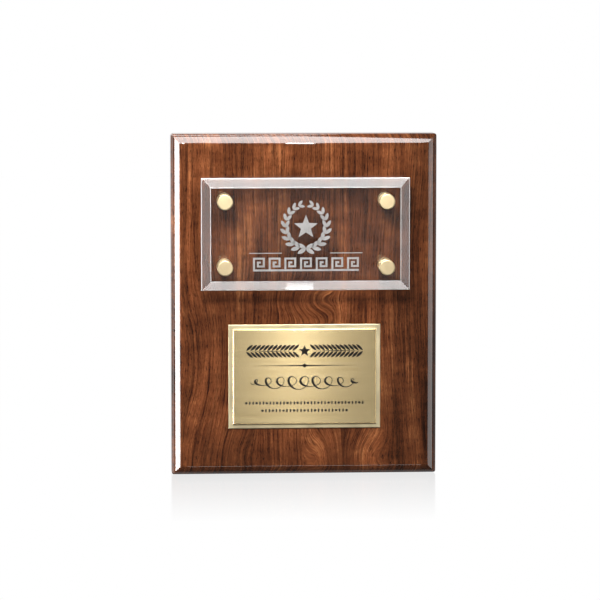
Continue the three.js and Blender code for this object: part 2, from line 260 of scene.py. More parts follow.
# name, azimuth, elevation, distance, width, height, brightness and, for the last, what it points at
softbox("overhead_light", 8, 63, 4.0, 0.64, 4.6, 13)
softbox("left_light", -69, -6, 4.0, 2.5, 0.66, 24)
softbox("left_fill_light", -49, -6, 4.0, 0.7, 0.66, 3.4)
softbox("left_rear_light", -112, -6, 4.0, 2.4, 0.66, 3.2)
softbox("right_light", 72, -6, 4.0, 3.0, 0.66, 3.0)
softbox("key_light", -16, 34, 1.2, 0.22, 0.22, 108)
softbox("brass_strip", 3, 33, 0.36, 0.02, 0.13, 78)
softbox("gleam_light", 6, -56, 1.0, 0.26, 0.07, 12, glass_foot)

# %% [markdown]
# ## Shaping pieces
#
# Each new piece starts as a primitive of the right size at the right place. Its place is applied to
# the mesh, so that the object sits at the origin and a pattern on object coordinates stays put.
# Everything is deselected first, and edges or faces are then picked by where they lie.

# %% Helpers for edit mode
def only(piece):
    bpy.ops.object.select_all(action="DESELECT")
    piece.select_set(True)
    bpy.context.view_layer.objects.active = piece


def place_in_mesh(name, scale=(1, 1, 1)):
    """Names the object that was just added, scales it and moves its place and size into its mesh."""
    piece = bpy.context.object
    piece.name = piece.data.name = name
    piece.scale = scale
    bpy.ops.object.transform_apply(location=True, rotation=True, scale=True)
    return piece


def start_block(name, low, high):
    bpy.ops.object.select_all(action="DESELECT")
    bpy.ops.mesh.primitive_cube_add(size=1, location=(low + high) / 2)
    return place_in_mesh(name, high - low)


def start_rod(name, centre, radius, low, high, sides=48, end_radius=None):
    """A rod along Y between two places, or a cone when its end at high has another radius."""
    bpy.ops.object.select_all(action="DESELECT")
    end_radius = radius if end_radius is None else end_radius
    bpy.ops.mesh.primitive_cone_add(
        vertices=sides, radius1=end_radius, radius2=radius, depth=high - low,
        location=(centre.x, (low + high) / 2, centre.z), rotation=(math.pi / 2, 0, 0),
    )
    return place_in_mesh(name)


def pick(piece, edges=None, faces=None):
    """Goes into edit mode and selects the edges or faces for which the given test is true."""
    only(piece)
    bpy.ops.object.mode_set(mode="EDIT")
    bpy.ops.mesh.select_mode(type="EDGE" if edges else "FACE")
    bpy.ops.mesh.select_all(action="DESELECT")
    shape = bmesh.from_edit_mesh(piece.data)
    shape.normal_update()
    for item in shape.edges if edges else shape.faces:
        item.select_set((edges or faces)(item))
    shape.select_flush_mode()
    bmesh.update_edit_mesh(piece.data)


def edit_whole(piece, kind="FACE"):
    """Goes into edit mode with everything selected."""
    only(piece)
    bpy.ops.object.mode_set(mode="EDIT")
    bpy.ops.mesh.select_mode(type=kind)
    bpy.ops.mesh.select_all(action="SELECT")


def turn_faces_out():
    bpy.ops.mesh.select_all(action="SELECT")
    bpy.ops.mesh.normals_make_consistent(inside=False)
    leave_edit()


def leave_edit():
    bpy.ops.object.mode_set(mode="OBJECT")


def runs_front_to_back(edge):
    start, end = (vertex.co for vertex in edge.verts)
    return abs(start.y - end.y) > 0.999 * (start - end).length


def carve(piece, cutter, operation="DIFFERENCE"):
    only(piece)
    modifier = piece.modifiers.new("carve", "BOOLEAN")
    modifier.operation = operation
    modifier.solver = "EXACT"
    modifier.object = cutter
    bpy.ops.object.modifier_apply(modifier=modifier.name)
    bpy.data.objects.remove(cutter)


def smooth(piece, degrees=32, flat_faces=True):
    """Smooth shading up to an angle, with the large flat faces kept truly flat."""
    only(piece)
    bpy.ops.object.shade_smooth_by_angle(angle=math.radians(degrees))
    if flat_faces:
        modifier = piece.modifiers.new("flat faces", "WEIGHTED_NORMAL")
        modifier.keep_sharp = True
        modifier.weight = 100
        bpy.ops.object.modifier_apply(modifier=modifier.name)


def finish_piece(piece, finish, nodes=(), body=BODY):
    """Gives a piece its finish, its body and the solid nodes that it stands for."""
    piece.data.materials.clear()
    piece.data.materials.append(finish)
    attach(piece, body)
    if nodes:
        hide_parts(*nodes)
    print(piece.name, len(piece.data.polygons), "faces")

# %% [markdown]
# ## Panels with a mitred edge
#
# The board, the glass and both brass plates are rectangles with one edge profile run round all four
# sides. A joiner cuts such a profile with the same cutter on each side, so the corners come out as
# mitres. Here the back face is extruded forward in steps, and after each step it is drawn in by the
# same amount on all sides, which gives the same mitres.

# %% A helper for mitred panels
def mitred_panel(name, low, high, profile):
    """profile holds (inset from the outline, y) for each ring, from the back to the front."""
    middle = (low + high) / 2
    half_width, half_height = (high.x - low.x) / 2, (high.z - low.z) / 2
    inset, y = profile[0]
    bpy.ops.object.select_all(action="DESELECT")
    bpy.ops.mesh.primitive_plane_add(
        size=2, location=(middle.x, y, middle.z), rotation=(math.pi / 2, 0, 0),
    )
    panel = place_in_mesh(name, (half_width - inset, half_height - inset, 1))
    edit_whole(panel)
    for next_inset, next_y in profile[1:]:
        bpy.ops.mesh.extrude_region_move(TRANSFORM_OT_translate={"value": (0, next_y - y, 0)})
        across = (half_width - next_inset) / (half_width - inset)
        upward = (half_height - next_inset) / (half_height - inset)
        bpy.ops.transform.resize(value=(across, 1, upward), center_override=(middle.x, next_y, middle.z))
        inset, y = next_inset, next_y
    turn_faces_out()
    return panel


def hold_corners(panel, low, high, reach):
    """Cuts a line across the panel near each end, so that a corner's shading stays at the corner."""
    only(panel)
    bpy.ops.object.mode_set(mode="EDIT")
    for axis in (0, 2):
        for place in (low[axis] + reach, high[axis] - reach):
            plane_point, plane_normal = Vector((0, 0, 0)), Vector((0, 0, 0))
            plane_point[axis], plane_normal[axis] = place, 1
            bpy.ops.mesh.select_all(action="SELECT")
            bpy.ops.mesh.bisect(plane_co=plane_point, plane_no=plane_normal)
    leave_edit()


def bent(start, corner, end, steps=6):
    """Points from start to end along a curve that leans on a corner, as sanding rounds it."""
    start, corner, end = Vector(start), Vector(corner), Vector(end)
    shares = [step / steps for step in range(steps + 1)]
    curve = [(1 - t) ** 2 * start + 2 * t * (1 - t) * corner + t ** 2 * end for t in shares]
    return [tuple(point) for point in curve]


def softened(points, reach, steps=3):
    """A polyline of (inset, y) corners with every inner corner rounded over the given reach."""
    path = [points[0]]
    for before, corner, after in zip(points, points[1:], points[2:]):
        before, corner, after = Vector(before), Vector(corner), Vector(after)
        start = corner + (before - corner).normalized() * reach
        end = corner + (after - corner).normalized() * reach
        path += bent(start, corner, end, steps)
    return path + [points[-1]]


def round_corners(panel, low, high, radius):
    """Trims a panel to an outline with round corners, as a router does on a finished block."""
    spare = Vector((0, MM, 0))
    trimmer = start_block("trimmer", low - spare, high + spare)
    pick(trimmer, edges=runs_front_to_back)
    bpy.ops.mesh.bevel(offset=radius, segments=8, profile=0.5, affect="EDGES")
    leave_edit()
    carve(panel, trimmer, "INTERSECT")

# %% [markdown]
# ## The board
#
# The edge of a lacquered board is never a sharp chamfer. It is cut at about 40 degrees, sanded to a
# slight crown, and rounded over where it meets the upright side. The profile follows the same few
# sizes as the solid model, with more points along the curves so that the lacquer reflects smoothly.

# %% The board's outline and edge
BEVEL_WIDTH = 6.2 * MM
BEVEL_DEPTH = 5.2 * MM
BEVEL_CROWN = 0.7 * MM
SHOULDER_ROUND = 1.4 * MM
FACE_ROUND = 0.5 * MM
BACK_CHAMFER = 0.8 * MM
CORNER_RADIUS = 2.3 * MM
front, back = board_low.y, board_high.y


def board_edge():
    shoulder = Vector((0, front + BEVEL_DEPTH))
    rim = Vector((BEVEL_WIDTH, front))
    slope = (rim - shoulder).normalized()
    turn = shoulder + slope * SHOULDER_ROUND
    crown = (turn + rim) / 2 + Vector((slope.y, -slope.x)) * BEVEL_CROWN
    rim_start = rim + (crown - rim).normalized() * FACE_ROUND
    path = bent((BACK_CHAMFER, back), (0, back), (0, back - BACK_CHAMFER), 4)
    path += bent((0, shoulder.y + SHOULDER_ROUND), shoulder, turn, 8)
    path += bent(turn, crown, rim_start, 12)[1:]
    path += bent(rim_start, rim, (BEVEL_WIDTH + FACE_ROUND, front), 4)[1:]
    return path


board = mitred_panel("lacquered_board", board_low, board_high, board_edge())
hold_corners(board, board_low, board_high, BEVEL_WIDTH + 2 * CORNER_RADIUS)
round_corners(board, board_low, board_high, CORNER_RADIUS)

# %% [markdown]
# The back has a recess for the keyhole plate and, under it, a deeper pocket for the head of the wall
# screw. Both are long holes with round ends, as a router leaves them. Small holes take the screws of
# the keyhole plate and of the four barrels.

# %% The recess, the pocket and the screw holes
keyhole_low, keyhole_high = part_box("keyhole_plate")
RECESS_GAP = 0.3 * MM
POCKET_WIDTH = 12 * MM
POCKET_DEPTH = 8 * MM
POCKET_BELOW, POCKET_ABOVE = 9.25 * MM, 8 * MM
SCREW_HOLE = 1.8 * MM
HOLE_SPARE = 0.3 * MM
RECESS_SPARE = 0.05 * MM
ROUND_END = 0.98


def long_hole(name, low, high, end_radius):
    """A block along Y with its four front-to-back edges rounded."""
    block = start_block(name, low, high)
    pick(block, edges=runs_front_to_back)
    bpy.ops.mesh.bevel(offset=end_radius, segments=12, profile=0.5, affect="EDGES")
    leave_edit()
    return block


keyhole_middle = (keyhole_low.z + keyhole_high.z) / 2
recess_low = keyhole_low - Vector((RECESS_GAP, RECESS_SPARE, RECESS_GAP))
recess_high = Vector((keyhole_high.x + RECESS_GAP, back + MM, keyhole_high.z + RECESS_GAP))
carve(board, long_hole("recess", recess_low, recess_high, recess_high.x * ROUND_END))
pocket_low = Vector((-POCKET_WIDTH / 2, recess_low.y - POCKET_DEPTH, keyhole_middle - POCKET_BELOW))
pocket_high = Vector((POCKET_WIDTH / 2, back + MM, keyhole_middle + POCKET_ABOVE))
carve(board, long_hole("pocket", pocket_low, pocket_high, POCKET_WIDTH / 4))
for screw in ("top", "bottom"):
    low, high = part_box(f"keyhole_screw_{screw}")
    carve(board, start_rod("screw_hole", (low + high) / 2, SCREW_HOLE, low.y - HOLE_SPARE, back + MM, 24))
for corner in CORNERS:
    low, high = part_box(f"barrel_screw_{corner}")
    carve(board, start_rod("screw_hole", centres[corner], SCREW_HOLE, front - MM, high.y + HOLE_SPARE, 24))
smooth(board)

# %% [markdown]
# ## The walnut
#
# Figured walnut is read at three scales. Broad growth bands bend round old knots and forks, fine
# streaks follow the same bends, and short dark pores run along the grain. One number for each point,
# the grain line that the point lies on, carries all three: it grows steadily across the board and is
# pushed aside by gentle noise and by a few placed mounds. Colours are then painted along that number,
# so that every streak bends the same way. A mound that pushes hard makes nested arches.

# %% The grain line of each point
GRAIN_SLANT = 0.45
FIGURE_MOUNDS = (
    # (x, z) of the middle, (x, z) reach and push, all in mm
    ((2, 4), (30, 18), 10),
    ((14, -106), (20, 34), -9),
    ((40, -104), (26, 30), 9),
    ((-46, -104), (20, 34), 6),
    ((62, 0), (50, 120), 5),
    ((-64, -40), (34, 90), -9),
)


def mound(tree, middle, reach):
    """1 in the middle of an oval, falling smoothly to 0 at its edge."""
    share = [1 / side for side in reach]
    shift = (-middle[0] * share[0], 0, -middle[1] * share[1])
    inside = scaled_place(tree, (share[0], 0, share[1]), shift)
    distance = add_node(tree, "VectorMath", {"operation": "LENGTH"}, Vector=inside).outputs["Value"]
    return stretch(tree, distance, 1.0, 0.0, kind="SMOOTHERSTEP")


def grain_line(tree):
    place = add_node(tree, "SeparateXYZ", Vector=scaled_place(tree, (1, 1, 1)))
    across, depth = place.outputs["X"], place.outputs["Y"]
    line = calc(tree, "MULTIPLY_ADD", depth, GRAIN_SLANT, across)
    wander = patches(tree, (1 / 70, 1 / 90, 1 / 190), 1.0)
    line = calc(tree, "MULTIPLY_ADD", wander, 20.0, line)
    ripple = patches(tree, (1 / 9, 1 / 20, 1 / 22), 2.0)
    line = calc(tree, "MULTIPLY_ADD", ripple, 1.5, line)
    for middle, reach, push in FIGURE_MOUNDS:
        line = calc(tree, "MULTIPLY_ADD", mound(tree, middle, reach), float(push), line)
    return line, place.outputs["Z"]


# %% [markdown]
# The colours run from a purple-brown in the dark growth bands through warm brown to golden streaks.
# The dark bands and the streaks are noise along the grain line that changes only slowly up the board.
# Walnut also shimmers: where the fibres dip into the board, a cloud of lighter or darker wood appears
# across the grain. The wood is also darkened towards the board's right side, which is painted shade.
# The lacquer is a clear coat with its own smooth surface over the duller wood.

# %% The walnut finish
WOOD_DARK = (0.016, 0.0045, 0.0018, 1)
WOOD_BROWN = (0.075, 0.0205, 0.0066, 1)
WOOD_WARM = (0.150, 0.0455, 0.0155, 1)
WOOD_GOLD = (0.36, 0.135, 0.048, 1)


def walnut_finish():
    material, tree = start_finish("lacquered_walnut")
    line, up = grain_line(tree)

    def along_grain(across_scale, along_scale, detail, roughness=0.5):
        place = add_node(tree, "CombineXYZ", X=calc(tree, "MULTIPLY", line, across_scale),
                         Y=calc(tree, "MULTIPLY", up, along_scale))
        return noise(tree, place, detail, roughness)

    bands = along_grain(0.055, 0.007, 2.0)
    streaks = along_grain(0.40, 0.010, 5.0, 0.72)
    hairs = along_grain(1.9, 0.030, 3.0, 0.6)
    shimmer = patches(tree, (1 / 17, 1 / 30, 1 / 9), 4.0, 0.6, rotation=(0, 0.6, 0))
    tone = calc(tree, "MULTIPLY_ADD", bands, 0.60, calc(tree, "MULTIPLY", streaks, 0.68))
    tone = calc(tree, "MULTIPLY_ADD", hairs, 0.50, tone)
    tone = calc(tree, "MULTIPLY_ADD", shimmer, 0.38, tone)

    ramp = add_node(tree, "ValToRGB", Fac=stretch(tree, tone, 0.82, 1.38, kind="LINEAR"))
    stops = ramp.color_ramp.elements
    stops[0].color = WOOD_DARK
    stops[1].color = WOOD_GOLD
    stops.new(0.30).color = WOOD_BROWN
    stops.new(0.62).color = WOOD_WARM

    year_line = calc(tree, "ABSOLUTE", calc(tree, "SUBTRACT", along_grain(0.21, 0.004, 3.0), 0.5))
    lines = stretch(tree, year_line, 0.0, 0.05, 0.55, 1.0)
    pores = stretch(tree, along_grain(2.1, 0.20, 2.0), 0.56, 0.66, 1.0, 0.40)
    fibres = stretch(tree, along_grain(1.5, 0.42, 3.0, 0.7), 0.35, 0.65, 0.82, 1.14)
    drift = patches(tree, (1 / 34, 1 / 40, 1 / 52), 2.0)
    clouds = stretch(tree, drift, 0.35, 0.65, 0.78, 1.14)
    fine = calc(tree, "MULTIPLY", calc(tree, "MULTIPLY", lines, pores), fibres)
    shade = calc(tree, "MULTIPLY", fine, clouds)
    # Painted shade: the wood is darkened steadily towards the right side, down to 0.6 at the right edge.
    across = add_node(tree, "SeparateXYZ", Vector=scaled_place(tree, (1, 1, 1))).outputs["X"]
    shade = calc(tree, "MULTIPLY", shade, stretch(tree, across, 30.0, 88.0, 1.0, 0.60))
    color = add_node(tree, "Mix", {"data_type": "RGBA", "blend_type": "MULTIPLY"},
                     _0=1.0, _6=ramp, _7=shade).outputs[2]

    rough = stretch(tree, streaks, 0.3, 0.7, 0.5, 0.36)
    relief = add_node(tree, "Bump", Strength=0.1, Distance=0.05 * MM, Height=pores)
    surface = add_node(
        tree, "BsdfPrincipled", Base_Color=color, Roughness=rough, Normal=relief,
        Coat_Weight=1.0, Coat_Roughness=0.045, Coat_IOR=1.5,
    )
    surface.inputs["Specular IOR Level"].default_value = 0.0
    return end_finish(material, surface)


finish_piece(board, walnut_finish(), ["walnut_board"])

# %% [markdown]
# ## The glass plate
#
# The plate is thick glass with a broad polished bevel and a square edge behind it. The sharp edges are
# taken off with a fine stone, which leaves a narrow ground arris. It is matt and whitish, so it shows
# as a bright line all round the plate. The four holes are drilled before polishing.

# %% The glass plate's shape
GLASS_EDGE = 3 * MM
GLASS_BEVEL = 6.2 * MM
ARRIS = 0.45 * MM
RIDGE = 0.12 * MM
GLASS_HOLE = 4.3 * MM

edge_front = glass_high.y - GLASS_EDGE
slope = (edge_front - glass_low.y) / GLASS_BEVEL
glass_edge = [
    (ARRIS, glass_high.y),
    (0, glass_high.y - ARRIS),
    (0, edge_front + ARRIS),
    (ARRIS, edge_front - slope * ARRIS),
    (GLASS_BEVEL - RIDGE, glass_low.y + slope * RIDGE),
    (GLASS_BEVEL + RIDGE, glass_low.y),
]
glass = mitred_panel("bevelled_glass", glass_low, glass_high, glass_edge)
for corner in CORNERS:
    drill = start_rod("drill", centres[corner], GLASS_HOLE, glass_low.y - MM, glass_high.y + MM, 64)
    carve(glass, drill)
smooth(glass, 8, flat_faces=False)

# %% [markdown]
# Light that falls through clear glass arrives almost whole where the plate is flat, and is thrown
# aside by the bevels, which is why a bevelled plate casts a dark frame. A path tracer finds such light
# very slowly, so the finish answers shadow rays itself: it lets them through by how flat the glass is.
# The plate is then hidden from the wood's own bounce light, or that light would be counted twice.

# %% Clear glass
FLAT_PASSES = 0.93
BEVEL_PASSES = 0.35


def glass_finish():
    material, tree = start_finish("clear_glass")
    body = add_node(
        tree, "BsdfPrincipled", Base_Color=(0.97, 0.985, 0.98, 1), Roughness=0.0,
        IOR=1.5, Transmission_Weight=1.0,
    )
    normal = add_node(tree, "NewGeometry").outputs["True Normal"]
    flatness = calc(tree, "ABSOLUTE", add_node(tree, "SeparateXYZ", Vector=normal).outputs["Y"])
    passing = stretch(tree, flatness, 0.95, 0.99, BEVEL_PASSES, FLAT_PASSES)
    through = add_node(tree, "BsdfTransparent", Color=passing)
    shadow = add_node(tree, "LightPath").outputs["Is Shadow Ray"]
    return end_finish(material, add_node(tree, "MixShader", _0=shadow, _1=body, _2=through))


finish_piece(glass, glass_finish(), ["glass_plate"])

# %% [markdown]
# The ground arris is the same glass with its surface broken up, so that it scatters light instead of
# letting it through. The faces of the narrow strips are picked and get this second material. The strip
# along the top of the bevel gets it too, and there the whitish finish is a painted highlight line.

# %% The ground arris
def arris_and_ridge_highlight_finish():
    material, tree = start_finish("ground_arris_and_ridge_highlight")
    speck = patches(tree, (4, 4, 4), 2.0)
    white = two_tones(tree, speck, (0.70, 0.70, 0.69), (0.95, 0.95, 0.94))
    rough = stretch(tree, speck, 0.3, 0.7, 0.45, 0.6)
    return surface_finish(material, Base_Color=white, Roughness=rough, Transmission_Weight=0.15, IOR=1.5)


def is_arris_or_ridge_highlight(face):
    """The narrow ground strips between the square edge, the bevel and the back, and along the bevel's top,
    where the whitish finish is a painted highlight line.
    """
    outward = abs(face.normal.x) + abs(face.normal.z)
    heights = [corner.co.y for corner in face.verts]
    return max(heights) - min(heights) < 1.6 * ARRIS and 0.1 < outward < 0.98


glass.visible_diffuse = False
glass.data.materials.append(arris_and_ridge_highlight_finish())
# The ridge along the bevel's top gets the whitish finish as a painted highlight line.
pick(glass, faces=is_arris_or_ridge_highlight)
glass.active_material_index = 1
bpy.ops.object.material_slot_assign()
leave_edit()
print("ground faces", sum(face.material_index == 1 for face in glass.data.polygons))

# %% [markdown]
# ## Turned pieces
#
# Caps, barrels, washers, sleeves and screws all come off a lathe. Starting from one ring of edges, each
# step extrudes the ring along the axis and scales it to the next radius, as a tool follows a profile.
# A profile that comes back to its first ring closes into a tube. Any other is filled at both ends.
# The mesh also keeps each point's distance from the axis, so that lathe marks can follow it.

# %% A helper that follows a turned profile
def turned(name, centre, profile, sides=64):
    """profile holds the (radius, y) of each ring, from the first to the last."""
    radius, y = profile[0]
    tube = profile[0] == profile[-1]
    bpy.ops.object.select_all(action="DESELECT")
    bpy.ops.mesh.primitive_circle_add(
        vertices=sides, radius=radius, rotation=(math.pi / 2, 0, 0), location=(centre.x, y, centre.z),
        fill_type="NOTHING" if tube else "NGON",
    )
    piece = place_in_mesh(name)
    edit_whole(piece, "EDGE" if tube else "FACE")
    for next_radius, next_y in profile[1:]:
        bpy.ops.mesh.extrude_region_move(TRANSFORM_OT_translate={"value": (0, next_y - y, 0)})
        share = next_radius / radius
        bpy.ops.transform.resize(value=(share, 1, share), center_override=(centre.x, next_y, centre.z))
        radius, y = next_radius, next_y
    bpy.ops.mesh.select_all(action="SELECT")
    bpy.ops.mesh.remove_doubles(threshold=0.001 * MM)
    turn_faces_out()
    from_axis = piece.data.uv_layers.new(name="from_axis").data
    for loop in piece.data.loops:
        place = piece.data.vertices[loop.vertex_index].co
        from_axis[loop.index].uv = ((place.x - centre.x) / MM, (place.z - centre.z) / MM)
    smooth(piece, 40)
    return piece


def quarter_round(radius, y, size, start, end, steps=6):
    """Rings round part of a circle, with angles in degrees from the outward direction towards +Y."""
    turns = [math.radians(start + (end - start) * step / steps) for step in range(steps + 1)]
    return [(radius + size * math.cos(turn), y + size * math.sin(turn)) for turn in turns]


def threads(radius, start, end, pitch, depth):
    """Rings along a screw thread, which is close enough to a helix at this size."""
    count = round((end - start) / pitch)
    step = (end - start) / count
    rings = [(radius - depth, start)]
    for turn in range(count):
        rings += [(radius, start + (turn + 0.5) * step), (radius - depth, start + (turn + 1) * step)]
    return rings

# %% [markdown]
# The caps and barrels are solid brass, turned and then lightly satined, so their ends show faint rings
# and a soft highlight. The rings are a one-dimensional noise of the distance from the axis, used as
# relief and as roughness. Handling polishes the rims a little, which the cloudy roughness stands for.

# %% The satin brass finish
SATIN_BRASS = (0.68, 0.55, 0.33, 1)


def satin_brass_finish():
    material, tree = start_finish("satin_brass")
    marks = add_node(tree, "UVMap", {"uv_map": "from_axis"}).outputs[0]
    radius = add_node(tree, "VectorMath", {"operation": "LENGTH"}, Vector=marks).outputs["Value"]
    rings = add_node(tree, "TexNoise", {"noise_dimensions": "1D"}, W=radius, Scale=7.0, Detail=4.0)
    cloud = patches(tree, (0.4, 0.4, 0.4))
    rough = calc(tree, "MULTIPLY_ADD", rings, 0.08, stretch(tree, cloud, 0.3, 0.7, 0.40, 0.48))
    relief = add_node(tree, "Bump", Strength=0.16, Distance=0.02 * MM, Height=rings)
    return surface_finish(material, Base_Color=SATIN_BRASS, Metallic=1.0, Roughness=rough, Normal=relief)


satin_brass = satin_brass_finish()

# %% [markdown]
# A cap and its stud are one turned piece: a flat face, a rounded rim, the seat that presses on the
# washer, and a threaded stud that ends in a smaller tip. Each cap rides on its own body, because it
# unscrews. Its thread is only seen when it is out.

# %% The caps with their studs
CAP_HEAD = 4.5 * MM
CAP_RIM = 0.7 * MM
CAP_MIDDLE = 0.4 * MM
SEAT_CHAMFER = 0.2 * MM
STUD_RADIUS = 3 * MM
STUD_PITCH = 0.8 * MM
STUD_GROOVE = 0.4 * MM
STUD_NECK = 0.6 * MM
STUD_TIP = 0.5 * MM
for corner in CORNERS:
    low, high = caps[corner]
    radius, seat = (high.x - low.x) / 2, low.y + CAP_HEAD
    profile = [(CAP_MIDDLE, low.y)]
    profile += quarter_round(radius - CAP_RIM, low.y + CAP_RIM, CAP_RIM, -90, 0)
    profile += [(radius, seat - SEAT_CHAMFER), (radius - SEAT_CHAMFER, seat)]
    profile += [(STUD_RADIUS - STUD_GROOVE, seat)]
    profile += threads(STUD_RADIUS, seat + STUD_NECK, high.y - STUD_TIP, STUD_PITCH, STUD_GROOVE)
    profile += [(STUD_RADIUS - 2 * STUD_GROOVE, high.y)]
    cap = turned(f"brass_cap_{corner}", centres[corner], profile)
    finish_piece(cap, satin_brass, [f"cap_{corner}"], f"cap_{corner}")

# %% [markdown]
# A barrel is a deep cup with rounded rims. The screw goes through its floor and the stud into its bore,
# so its profile goes round the wall and back to where it started, which closes it into a tube.

# %% The barrels
BARREL_RIM = 0.4 * MM
BARREL_BASE = 2 * MM
BARREL_BORE = 3.3 * MM
for corner in CORNERS:
    low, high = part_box(f"barrel_{corner}")
    radius = (high.x - low.x) / 2
    inner_ring = (SCREW_HOLE, high.y - BARREL_BASE)
    profile = [inner_ring, (BARREL_BORE, high.y - BARREL_BASE), (BARREL_BORE, low.y)]
    profile += quarter_round(radius - BARREL_RIM, low.y + BARREL_RIM, BARREL_RIM, -90, 0, 4)
    profile += quarter_round(radius - BARREL_RIM, high.y - BARREL_RIM, BARREL_RIM, 0, 90, 4)
    profile += [(SCREW_HOLE, high.y), inner_ring]
    barrel = turned(f"brass_barrel_{corner}", centres[corner], profile)
    finish_piece(barrel, satin_brass, [f"barrel_{corner}"])

# %% [markdown]
# The glass never touches the brass. A washer lies on each side of it and a sleeve lines the hole, all
# of clear nylon, which is milky and slightly soft at its edges. Each is a tube, so its profile goes
# round a small rectangle with its corners taken off.

# %% The nylon washers and sleeves
NYLON_EDGE = 0.1 * MM


def nylon_finish():
    material, tree = start_finish("clear_nylon")
    cloud = patches(tree, (0.7, 0.7, 0.7))
    rough = stretch(tree, cloud, 0.3, 0.7, 0.28, 0.45)
    milk = two_tones(tree, cloud, (0.62, 0.61, 0.58), (0.78, 0.77, 0.74))
    return surface_finish(material, Base_Color=milk, Roughness=rough, Transmission_Weight=0.55, IOR=1.53)


def ring_profile(inner, outer, low, high, edge):
    corners = [(inner, low), (outer, low), (outer, high), (inner, high)]
    path = []
    for index, corner in enumerate(corners):
        before, after = Vector(corners[index - 1]), Vector(corners[(index + 1) % 4])
        place = Vector(corner)
        path += [tuple(place + (before - place).normalized() * edge)]
        path += [tuple(place + (after - place).normalized() * edge)]
    return path + path[:1]


nylon = nylon_finish()
for corner in CORNERS:
    for fitting in ("rear_washer", "front_washer", "sleeve"):
        low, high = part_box(f"{fitting}_{corner}")
        profile = ring_profile(BARREL_BORE, (high.x - low.x) / 2, low.y, high.y, NYLON_EDGE)
        tube = turned(f"nylon_{fitting}_{corner}", centres[corner], profile, 48)
        finish_piece(tube, nylon, [f"{fitting}_{corner}"])

# %% [markdown]
# ## Screws
#
# A pan-head wood screw holds each barrel to the board, and two countersunk ones hold the keyhole plate.
# Both are bright zinc-plated steel. The shank is turned with its thread and point, and the driver's
# cross is carved with two crossed blocks. The same helper points a screw either way along Y.

# %% A helper for wood screws
CROSS_WIDTH = 0.7 * MM
CROSS_LENGTH = 3 * MM
CROSS_DEPTH = 1 * MM
SHANK_RADIUS = 1.5 * MM
WOOD_THREAD = 1.2 * MM
WOOD_GROOVE = 0.45 * MM
NECK_FILLET = 0.3 * MM
THREAD_START = 1.2 * MM
THREAD_END, POINT_START = 3 * MM, 2 * MM
POINT_SHARE = 0.75
POINT_TIP = 0.12 * MM


def wood_screw(name, node, head, toward):
    """head holds (radius, depth below the top); toward is 1 when the screw's point looks to +Y."""
    low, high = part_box(node)
    centre = (low + high) / 2
    length = high.y - low.y
    top = low.y if toward > 0 else high.y
    neck = head[-1][1]
    rings = head + [(SHANK_RADIUS, neck + NECK_FILLET)]
    rings += threads(SHANK_RADIUS, neck + THREAD_START, length - THREAD_END, WOOD_THREAD, WOOD_GROOVE)
    rings += [(SHANK_RADIUS * POINT_SHARE, length - POINT_START), (POINT_TIP, length)]
    screw = turned(name, centre, [(radius, top + toward * depth) for radius, depth in rings], 32)
    for across, upward in ((CROSS_LENGTH, CROSS_WIDTH), (CROSS_WIDTH, CROSS_LENGTH)):
        half = Vector((across / 2, CROSS_DEPTH, upward / 2))
        head_top = Vector((centre.x, top, centre.z))
        carve(screw, start_block("driver_cross", head_top - half, head_top + half))
    smooth(screw, 35, flat_faces=False)
    return screw


def zinc_finish():
    material, tree = start_finish("zinc_steel")
    spangle = add_node(tree, "TexVoronoi", Vector=scaled_place(tree, (1.3, 1.3, 1.3)), Scale=1.0)
    cloud = patches(tree, (0.25, 0.25, 0.25), 5.0)
    tint = two_tones(tree, cloud, (0.46, 0.47, 0.49), (0.68, 0.69, 0.70))
    wear = stretch(tree, cloud, 0.3, 0.7, 0.22, 0.38)
    rough = calc(tree, "MULTIPLY_ADD", spangle.outputs["Distance"], 0.12, wear)
    relief = add_node(tree, "Bump", Strength=0.12, Distance=0.03 * MM, Height=cloud)
    return surface_finish(material, Base_Color=tint, Metallic=1.0, Roughness=rough, Normal=relief)


zinc = zinc_finish()
# radius and depth below the top of each ring, in mm
PAN_RINGS = ((1.3, 0), (1.9, 0), (2.5, 0.4), (2.8, 0.9), (2.8, 1.8), (1.5, 1.8))
FLAT_RINGS = ((1.5, 0), (2.9, 0), (3, 0.1), (3, 0.3), (1.5, 1.8))
PAN_HEAD = [(radius * MM, depth * MM) for radius, depth in PAN_RINGS]
FLAT_HEAD = [(radius * MM, depth * MM) for radius, depth in FLAT_RINGS]
for corner in CORNERS:
    node = f"barrel_screw_{corner}"
    finish_piece(wood_screw(f"pan_screw_{corner}", node, PAN_HEAD, 1), zinc, [node])
for end in ("top", "bottom"):
    node = f"keyhole_screw_{end}"
    finish_piece(wood_screw(f"flat_screw_{end}", node, FLAT_HEAD, -1), zinc, [node])

# %% [markdown]
# ## The keyhole plate
#
# It is stamped from zinc-plated sheet: a long plate with round ends, a round hole for the head of the
# wall screw, and a slot above it that the screw's shank slides up. Its two screw holes are countersunk.
# The stamped edges are slightly rounded, which a bevel of every sharp edge gives.

